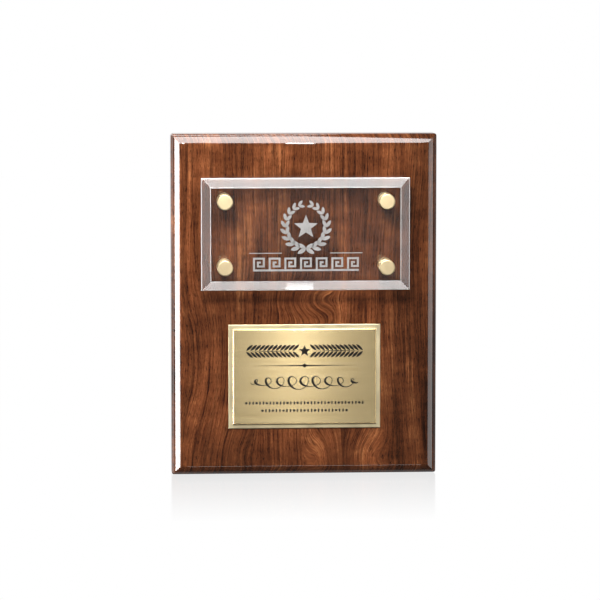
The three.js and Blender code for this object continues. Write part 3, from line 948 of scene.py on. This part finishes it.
# %% The keyhole plate's shape
KEYHOLE_RADIUS = 4.75 * MM
KEYHOLE_DROP = 4 * MM
SLOT_RADIUS = 2.5 * MM
SLOT_RISE = 5 * MM
SINK_RADIUS = 3.3 * MM
SINK_DEPTH = 1.8 * MM
STAMPED_EDGE = 0.15 * MM
beyond = keyhole_high.y + MM
behind = keyhole_low.y - MM
keyhole_plate = long_hole("zinc_keyhole_plate", keyhole_low, keyhole_high, keyhole_high.x * ROUND_END)
round_hole = Vector((0, 0, keyhole_middle - KEYHOLE_DROP))
slot_end = Vector((0, 0, keyhole_middle + SLOT_RISE))
carve(keyhole_plate, start_rod("wall_screw_hole", round_hole, KEYHOLE_RADIUS, behind, beyond))
carve(keyhole_plate, start_rod("slot_end", slot_end, SLOT_RADIUS, behind, beyond))
slot_low = Vector((-SLOT_RADIUS, behind, round_hole.z))
carve(keyhole_plate, start_block("slot", slot_low, Vector((SLOT_RADIUS, beyond, slot_end.z))))
for end in ("top", "bottom"):
    low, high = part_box(f"keyhole_screw_{end}")
    middle = (low + high) / 2
    sink = start_rod("countersink", middle, SINK_RADIUS + MM, high.y - SINK_DEPTH, beyond, 48, SCREW_HOLE)
    carve(keyhole_plate, sink)
    carve(keyhole_plate, start_rod("screw_hole", middle, SCREW_HOLE, behind, beyond))
only(keyhole_plate)
edges = keyhole_plate.modifiers.new("stamped edges", "BEVEL")
edges.width = STAMPED_EDGE
edges.segments = 2
edges.angle_limit = math.radians(50)
bpy.ops.object.modifier_apply(modifier=edges.name)
smooth(keyhole_plate)
finish_piece(keyhole_plate, zinc, ["keyhole_plate"])

# %% [markdown]
# ## The brass plates
#
# A thin polished plate makes the border, and the engraved plate lies on it, brushed along its length
# and with a sloped, diamond-cut edge. Both are mitred panels, like the board but much thinner.

# %% The two plates' shapes
border_low, border_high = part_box("border_plate")
engraved_low, engraved_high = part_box("engraved_plate")
BORDER_CHAMFER = 0.3 * MM
ENGRAVED_CHAMFER = 0.6 * MM
BORDER_EDGE = 0.1 * MM
ENGRAVED_EDGE = 0.12 * MM
BACK_INSET = 0.05 * MM


def plate_edge(low, high, chamfer, reach):
    corners = [(BACK_INSET, high.y), (0, low.y + chamfer), (chamfer, low.y), (chamfer + 2 * reach, low.y)]
    return softened(corners, reach)


border = mitred_panel("border_plate_brass", border_low, border_high,
                      plate_edge(border_low, border_high, BORDER_CHAMFER, BORDER_EDGE))
engraved = mitred_panel("engraved_plate_brass", engraved_low, engraved_high,
                        plate_edge(engraved_low, engraved_high, ENGRAVED_CHAMFER, ENGRAVED_EDGE))
for plate_piece in (border, engraved):
    smooth(plate_piece, 8)

# %% [markdown]
# Brushed metal is a flat metal covered in fine parallel scratches, which spread a highlight across
# them. The shader has a setting for that, anisotropy, and it needs to know which way the scratches
# run. Noise stretched along X adds the hair lines themselves, in colour, roughness and relief. The
# border is only polished, so it keeps faint cloudy wipe marks instead.

# %% The brushed and the polished brass
def brushed_brass_finish():
    material, tree = start_finish("brushed_brass")
    hairs = patches(tree, (0.018, 1, 4.6), 4.0, 0.65)
    wide_hairs = patches(tree, (0.008, 1, 0.9), 3.0)
    mixed = calc(tree, "MULTIPLY_ADD", hairs, 0.65, calc(tree, "MULTIPLY", wide_hairs, 0.35))
    tint = two_tones(tree, stretch(tree, mixed, 0.3, 0.7), (0.76, 0.585, 0.29), (0.86, 0.68, 0.37))
    rough = stretch(tree, mixed, 0.3, 0.7, 0.234, 0.256)
    relief = add_node(tree, "Bump", Strength=0.02, Distance=0.01 * MM, Height=hairs)
    along = add_node(tree, "Tangent", {"direction_type": "RADIAL", "axis": "Z"})
    return surface_finish(
        material, Base_Color=tint, Metallic=1.0, Roughness=rough,
        Anisotropic=0.95, Anisotropic_Rotation=0.25, Normal=relief, Tangent=along,
    )


def polished_brass_finish():
    material, tree = start_finish("polished_brass")
    wipes = patches(tree, (0.09, 0.2, 0.05), 4.0, rotation=(0, 0.4, 0))
    grain = patches(tree, (3, 3, 3), 2.0)
    tint = two_tones(tree, wipes, (0.74, 0.62, 0.38), (0.88, 0.77, 0.50))
    rough = calc(tree, "MULTIPLY_ADD", grain, 0.05, stretch(tree, wipes, 0.3, 0.7, 0.40, 0.50))
    return surface_finish(material, Base_Color=tint, Metallic=1.0, Roughness=rough)


finish_piece(border, polished_brass_finish(), ["border_plate"])
finish_piece(engraved, brushed_brass_finish(), ["engraved_plate"])

# %% [markdown]
# Two sheets of double-sided foam tape hold the plates. Only their thin edges can ever be seen, and the
# solid model's sheets already have the right shape, so they stay and only get a foam finish.

# %% The tape
def tape_finish():
    material, tree = start_finish("foam_tape")
    cells = add_node(tree, "TexVoronoi", Vector=scaled_place(tree, (6, 6, 6)), Scale=1.0)
    tint = two_tones(tree, cells.outputs["Distance"], (0.58, 0.55, 0.47), (0.80, 0.77, 0.68))
    relief = add_node(tree, "Bump", Strength=0.3, Distance=0.05 * MM, Height=cells.outputs["Distance"])
    return surface_finish(material, Base_Color=tint, Roughness=0.85, Normal=relief)


tape = tape_finish()
for node in ("border_tape", "engraved_tape"):
    sheet = bpy.data.objects[node]
    for slot in sheet.material_slots:
        slot.material = tape
# %% [markdown]
# ## The etched emblem on the glass
#
# The glass carries a frosted emblem: a laurel wreath round a star, between two thin rules, over a key
# frieze. On real glass it is a stencil and a sand blast. The blasted surface scatters light and looks
# silver-grey, so each shape is a very thin plate on the front of the glass with a frosted finish.
# One leaf is modelled and then copied along the branch, and each flat shape gets its thickness last.

# %% Helpers for flat ornaments
ETCH_THICKNESS = 0.10 * MM
ETCH_GAP = 0.01 * MM
STAR_POINTS = 5
STAR_WAIST = 0.42


def start_flat(name, sides, width, height, z=0.0):
    """A flat disc or, with four sides, a diamond, in the plane of the plaque's front."""
    bpy.ops.object.select_all(action="DESELECT")
    bpy.ops.mesh.primitive_circle_add(
        vertices=sides, radius=1, fill_type="NGON", rotation=(math.pi / 2, 0, 0), location=(0, 0, z)
    )
    return place_in_mesh(name, (width / 2, height / 2, 1))


def pick_corners(piece, is_wanted):
    """Goes into edit mode and selects the corners for which the given test is true."""
    only(piece)
    bpy.ops.object.mode_set(mode="EDIT")
    bpy.ops.mesh.select_mode(type="VERT")
    bpy.ops.mesh.select_all(action="DESELECT")
    shape = bmesh.from_edit_mesh(piece.data)
    for corner in shape.verts:
        corner.select_set(is_wanted(corner.co))
    bmesh.update_edit_mesh(piece.data)


def leaf(name, length, width):
    """A pointed leaf that grows along +Z from the origin: an oval whose two ends are pinched."""
    shape = start_flat(name, 16, width, length, length / 2)
    for nearness, pinch in ((0.30, 0.82), (0.44, 0.50)):
        pick_corners(shape, lambda place: abs(place.z / length - 0.5) > nearness)
        bpy.ops.transform.resize(value=(pinch, 1, 1), center_override=(0, 0, length / 2))
        leave_edit()
    return shape


def star(name, radius, z):
    """A star: every second corner of a disc is drawn in towards the middle."""
    shape = start_flat(name, 2 * STAR_POINTS, 2 * radius, 2 * radius, z)

    def is_inner(place):
        angle = math.degrees(math.atan2(place.x, place.z - z)) % 360
        return round(angle * STAR_POINTS / 180) % 2 == 1

    pick_corners(shape, is_inner)
    bpy.ops.transform.resize(value=(STAR_WAIST, 1, STAR_WAIST), center_override=(0, 0, z))
    leave_edit()
    return shape


def copy_flat(pattern, x, z, turn=0.0, width=1.0, height=1.0):
    """A copy with its own mesh, turned clockwise as seen from the front, with its place in its mesh."""
    only(pattern)
    bpy.ops.object.duplicate()
    shape = bpy.context.object
    shape.rotation_euler.y = turn
    shape.scale = (width, 1, height)
    shape.location = (x, 0, z)
    bpy.ops.object.transform_apply(location=True, rotation=True, scale=True)
    return shape


def joined(name, shapes):
    only(shapes[0])
    for shape in shapes[1:]:
        shape.select_set(True)
    bpy.ops.object.join()
    shapes[0].name = shapes[0].data.name = name
    return shapes[0]


def thicken(shape, y, thickness):
    """Moves a flat shape to its depth, extrudes it towards the front, and turns its faces out."""
    edit_whole(shape)
    bpy.ops.transform.translate(value=(0, y, 0))
    bpy.ops.mesh.extrude_region_move(TRANSFORM_OT_translate={"value": (0, -thickness, 0)})
    turn_faces_out()
    return shape

# %% [markdown]
# The wreath is laid out on an oval round the middle of the emblem. The leaves lean out to both sides of
# the branch and get smaller towards its tip, as a laurel's do.

# %% The wreath and the star
glass_middle = (glass_low.z + glass_high.z) / 2
EMBLEM_MIDDLE = glass_middle + 5.4 * MM
WREATH_WIDTH = 13.6 * MM
WREATH_HEIGHT = 14.8 * MM
LEAF_LENGTH = 6.4 * MM
LEAF_WIDTH = 2.7 * MM
LEAF_PAIRS = 10
LEAF_SPREAD = math.radians(30)
GAP_AT_TOP = math.radians(22)
SMALLEST_LEAF = 0.7
STAR_RADIUS = 8.2 * MM
STAR_DROP = 0.5 * MM
etch_y = glass_low.y - ETCH_GAP


def laurel_wreath(pattern):
    """Leaves in pairs up two branches that start at the bottom and nearly meet at the top."""
    leaves = []
    for side in (-1, 1):
        for pair in range(LEAF_PAIRS):
            share = pair / (LEAF_PAIRS - 1)
            around = math.pi - (math.pi - GAP_AT_TOP) * share
            x = side * WREATH_WIDTH * math.sin(around)
            z = EMBLEM_MIDDLE + WREATH_HEIGHT * math.cos(around)
            growth = side * (around - math.pi / 2)
            size = 1.0 - (1.0 - SMALLEST_LEAF) * share
            for spread in (-LEAF_SPREAD, LEAF_SPREAD):
                leaves.append(copy_flat(pattern, x, z, growth + spread, size, size))
    return leaves


leaf_pattern = leaf("leaf_pattern", LEAF_LENGTH, LEAF_WIDTH)
wreath = joined("etched_wreath", laurel_wreath(leaf_pattern))
bpy.data.objects.remove(leaf_pattern)
thicken(wreath, etch_y, ETCH_THICKNESS)
etched_star = star("etched_star", STAR_RADIUS, EMBLEM_MIDDLE - STAR_DROP)
thicken(etched_star, etch_y, ETCH_THICKNESS)

# %% [markdown]
# The frieze is a Greek key, one of the oldest borders there is, drawn as on squared paper. A grid of
# squares is laid out and the squares that the pattern leaves empty are deleted, so that what remains
# is one flat piece with exact right angles.

# %% The key frieze and the two rules
KEY_UNIT = (
    "######..",
    "#....#..",
    "#.##.#..",
    "#.#..#..",
    "#.####..",
    "#.......",
    "########",
)
KEY_SQUARE = 1.3 * MM
KEY_REPEATS = 7
KEY_TOP = glass_middle - 15.2 * MM
RULE_Z = glass_middle - 12.3 * MM
RULE_START, RULE_END = 16 * MM, 37.5 * MM
RULE_HEIGHT = 0.55 * MM


def key_frieze(name, z_top, square, repeats):
    rows, columns = len(KEY_UNIT), len(KEY_UNIT[0]) * repeats - 2
    width, height = columns * square, rows * square
    bpy.ops.object.select_all(action="DESELECT")
    bpy.ops.mesh.primitive_grid_add(
        x_subdivisions=columns, y_subdivisions=rows, size=1, rotation=(math.pi / 2, 0, 0),
        location=(0, 0, z_top - height / 2),
    )
    frieze = place_in_mesh(name, (width, height, 1))

    def is_empty(face):
        middle = face.calc_center_median()
        column = int((middle.x + width / 2) / square)
        row = int((z_top - middle.z) / square)
        return KEY_UNIT[row][column % len(KEY_UNIT[0])] == "."

    pick(frieze, faces=is_empty)
    bpy.ops.mesh.delete(type="FACE")
    leave_edit()
    return frieze


frieze = thicken(key_frieze("etched_key_frieze", KEY_TOP, KEY_SQUARE, KEY_REPEATS), etch_y, ETCH_THICKNESS)
rule_bars = [
    start_block("rule_bar", Vector((low_x, etch_y - ETCH_THICKNESS, RULE_Z - RULE_HEIGHT / 2)),
                Vector((high_x, etch_y, RULE_Z + RULE_HEIGHT / 2)))
    for low_x, high_x in ((-RULE_END, -RULE_START), (RULE_START, RULE_END))
]
rules = joined("etched_rules", rule_bars)

# %% [markdown]
# A blasted surface is a fine crater field: grey, matt and a little uneven where the blast was stronger.

# %% The frosted finish
def frosted_finish():
    material, tree = start_finish("frosted_etching")
    blast = patches(tree, (2.2, 2.2, 2.2), 4.0, 0.7)
    cloud = patches(tree, (0.12, 0.12, 0.12), 2.0)
    mixed = calc(tree, "MULTIPLY_ADD", blast, 0.7, calc(tree, "MULTIPLY", cloud, 0.3))
    grey = two_tones(tree, stretch(tree, mixed, 0.32, 0.68), (0.15, 0.146, 0.142), (0.30, 0.29, 0.28))
    rough = stretch(tree, blast, 0.3, 0.7, 0.5, 0.7)
    relief = add_node(tree, "Bump", Strength=0.35, Distance=0.05 * MM, Height=blast)
    return surface_finish(material, Base_Color=grey, Roughness=rough, Normal=relief)


frosted = frosted_finish()
for shape in (wreath, etched_star, frieze, rules):
    finish_piece(shape, frosted)

# %% [markdown]
# ## The engraving on the brass
#
# The engraved lines are filled with black enamel. In place of words there are ornaments of the same
# weight: a laurel branch, a divider with a diamond, a running scroll drawn with a broad pen, and two
# fine rows of beads. Each lies in the brass and stands a hair proud of it, as enamel does.

# %% The laurel branch and the divider
ENAMEL_THICKNESS = 0.06 * MM
ENAMEL_SUNK = 0.03 * MM
enamel_y = engraved_low.y + ENAMEL_SUNK
engraved_middle = (engraved_low.z + engraved_high.z) / 2
ENGRAVING_HALF_WIDTH = 39 * MM
BRANCH_Z = engraved_middle + 17.2 * MM
BRANCH_LEAVES = 12
BRANCH_LEAF_LENGTH = 6.0 * MM
BRANCH_LEAF_WIDTH = 1.7 * MM
BRANCH_LEAN = math.radians(42)
BRANCH_GAP = 5.2 * MM
STEM_HEIGHT = 0.7 * MM
STEM_OFFSET = 0.35 * MM
BRANCH_STAR = 4.0 * MM
DIVIDER_Z = engraved_middle + 7.4 * MM
DIVIDER_WIDTH = 73 * MM
DIVIDER_HEIGHT = 0.8 * MM
DIAMOND_SIZE = 3.2 * MM


def laurel_branch():
    """Two rows of leaves that grow from both ends towards a star in the middle."""
    pattern = leaf("branch_leaf_pattern", BRANCH_LEAF_LENGTH, BRANCH_LEAF_WIDTH)
    length = ENGRAVING_HALF_WIDTH - BRANCH_GAP
    shapes = []
    for side in (-1, 1):
        for count in range(BRANCH_LEAVES):
            x = side * (ENGRAVING_HALF_WIDTH - length * count / BRANCH_LEAVES)
            for upward in (-1, 1):
                turn = -side * (math.pi / 2 - upward * BRANCH_LEAN)
                shapes.append(copy_flat(pattern, x, BRANCH_Z + upward * STEM_OFFSET, turn))
        stem = start_flat("stem", 4, length, STEM_HEIGHT)
        shapes.append(copy_flat(stem, side * (BRANCH_GAP + length / 2), BRANCH_Z))
        bpy.data.objects.remove(stem)
    bpy.data.objects.remove(pattern)
    shapes.append(star("branch_star", BRANCH_STAR, BRANCH_Z))
    return joined("enamel_laurel_branch", shapes)


def divider():
    line = start_flat("divider_line", 4, DIVIDER_WIDTH, DIVIDER_HEIGHT, DIVIDER_Z)
    diamond = start_flat("divider_diamond", 4, DIAMOND_SIZE, DIAMOND_SIZE, DIVIDER_Z)
    return joined("enamel_divider", [line, diamond])


# %% [markdown]
# The scroll is one pen stroke: a point that runs along and circles at the same time draws a row of
# loops. The pen is broad, so the stroke is thick where it runs down and thin where it runs up. A curve
# carries both, the path as its points and the pen's width as each point's radius. It is made a mesh
# and pressed flat.

# %% The scroll and the rows of beads
SCROLL_Z = engraved_middle - 3.8 * MM
SCROLL_LOOPS = 9
SCROLL_RISE = 3.9 * MM
SCROLL_ROUND = 4.6 * MM
SCROLL_STEPS = 30
SCROLL_MARGIN = 3 * MM
PEN_THIN, PEN_THICK = 0.26 * MM, 0.90 * MM
BEAD_ROWS = ((engraved_middle - 17.7 * MM, 39.0 * MM), (engraved_middle - 22.8 * MM, 28.2 * MM))
BEAD_SPACING = 2.35 * MM
DASH_WIDTH, DASH_HEIGHT = 1.1 * MM, 2.4 * MM
DOT_SIZE = 1.7 * MM


def scroll(y, thickness):
    bpy.ops.object.select_all(action="DESELECT")
    bpy.ops.curve.primitive_nurbs_path_add()
    stroke = bpy.context.object
    stroke.data.splines.clear()
    steps = SCROLL_LOOPS * SCROLL_STEPS
    pen = stroke.data.splines.new("POLY")
    pen.points.add(steps)
    for step in range(steps + 1):
        share = step / steps
        turn = 2 * math.pi * SCROLL_LOOPS * share
        swell = math.sin(math.pi * share) ** 0.35
        alternate = 1.0 + 0.25 * math.cos(math.pi * SCROLL_LOOPS * share)
        x = (2 * share - 1) * (ENGRAVING_HALF_WIDTH - SCROLL_MARGIN) + SCROLL_ROUND * swell * math.sin(turn)
        z = SCROLL_Z - SCROLL_RISE * swell * alternate * math.cos(turn)
        pen.points[step].co = (x, 0, z, 1)
        downstroke = max(0.0, -math.sin(turn)) ** 1.5
        pen.points[step].radius = (PEN_THIN + (PEN_THICK - PEN_THIN) * downstroke) / PEN_THICK
    stroke.data.dimensions = "3D"
    stroke.data.bevel_depth = PEN_THICK
    stroke.data.bevel_resolution = 1
    stroke.data.use_fill_caps = True
    bpy.ops.object.convert(target="MESH")
    bpy.context.object.location.y = y - thickness / 2
    return place_in_mesh("enamel_scroll", (1, thickness / 2 / PEN_THICK, 1))


def bead_rows():
    """Fine rows of dashes and dots, two dashes after every dot."""
    pattern = start_flat("bead_pattern", 8, 1, 1)
    beads = []
    for z, half_width in BEAD_ROWS:
        count = 2 * round(half_width / BEAD_SPACING)
        for index in range(count + 1):
            x = -half_width + 2 * half_width * index / count
            width, height = (DASH_WIDTH, DASH_HEIGHT) if index % 3 else (DOT_SIZE, DOT_SIZE)
            beads.append(copy_flat(pattern, x, z, 0.0, width, height))
    bpy.data.objects.remove(pattern)
    return joined("enamel_bead_rows", beads)


branch = thicken(laurel_branch(), enamel_y, ENAMEL_THICKNESS)
divider_line = thicken(divider(), enamel_y, ENAMEL_THICKNESS)
beads = thicken(bead_rows(), enamel_y, ENAMEL_THICKNESS)
pen_stroke = scroll(enamel_y, ENAMEL_THICKNESS)

# %% [markdown]
# The enamel is nearly black, with a soft sheen that varies slightly where it was wiped off the brass.

# %% The black enamel
def enamel_finish():
    material, tree = start_finish("black_enamel")
    cloud = patches(tree, (1.4, 1.4, 1.4), 3.0)
    black = two_tones(tree, cloud, (0.004, 0.004, 0.004), (0.016, 0.014, 0.012))
    rough = stretch(tree, cloud, 0.3, 0.7, 0.35, 0.55)
    surface = add_node(tree, "BsdfPrincipled", Base_Color=black, Roughness=rough)
    surface.inputs["Specular IOR Level"].default_value = 0.06
    return end_finish(material, surface)


enamel = enamel_finish()
for shape in (branch, divider_line, beads, pen_stroke):
    finish_piece(shape, enamel)
